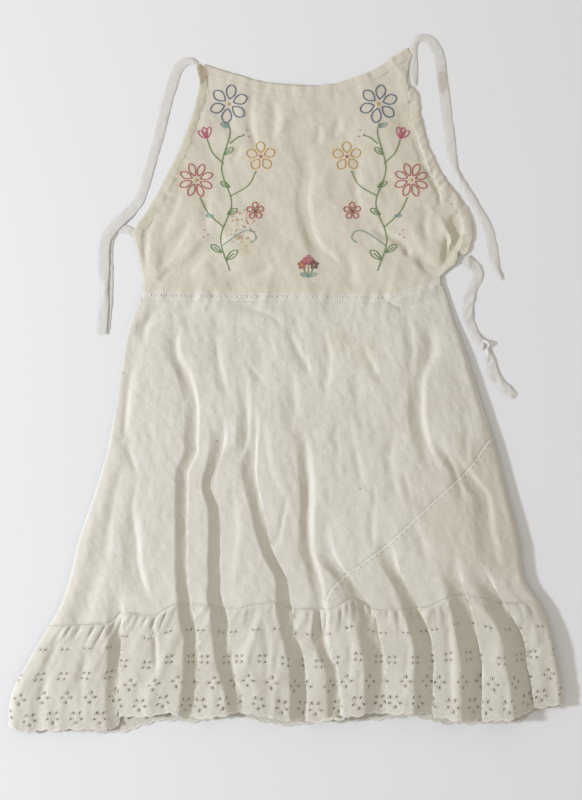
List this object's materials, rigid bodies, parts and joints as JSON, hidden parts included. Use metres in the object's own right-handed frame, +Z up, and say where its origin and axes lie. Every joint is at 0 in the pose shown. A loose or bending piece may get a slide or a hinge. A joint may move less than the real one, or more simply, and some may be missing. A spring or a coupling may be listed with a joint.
{
  "type": "halter dress",
  "caption": "Halter mini dress of plain off-white cotton with a gathered eyelet flounce, cased armholes and tape ties, lying flat on a surface with its front up.",
  "frame": {"origin": "middle of the dress without its ties, on the surface that it lies on", "axes": "+X to the right of the dress as seen from above, +Y from the hem towards the neckline, +Z up from the surface"},
  "size_m": [0.7206, 0.9075, 0.0242],
  "materials": {
    "cotton": "plain woven cotton, soft and matt",
    "casing_cotton": "folded plain woven cotton, matt",
    "eyelet_cotton": "cotton eyelet edging, matt",
    "tape": "woven cotton tape, matt"
  },
  "bodies": {
    "root": {"bodice_front": "cotton", "neckline_casing": "casing_cotton", "armhole_casing_left": "casing_cotton", "armhole_casing_right": "casing_cotton", "waist_band": "cotton", "skirt_front": "cotton", "skirt_front_piecing": "cotton", "skirt_back": "cotton", "flounce_front": "eyelet_cotton", "flounce_back": "eyelet_cotton", "neck_tie_left": "tape", "neck_tie_right": "tape", "back_tie_left": "tape", "back_tie_right": "tape"}
  },
  "joints": []
}
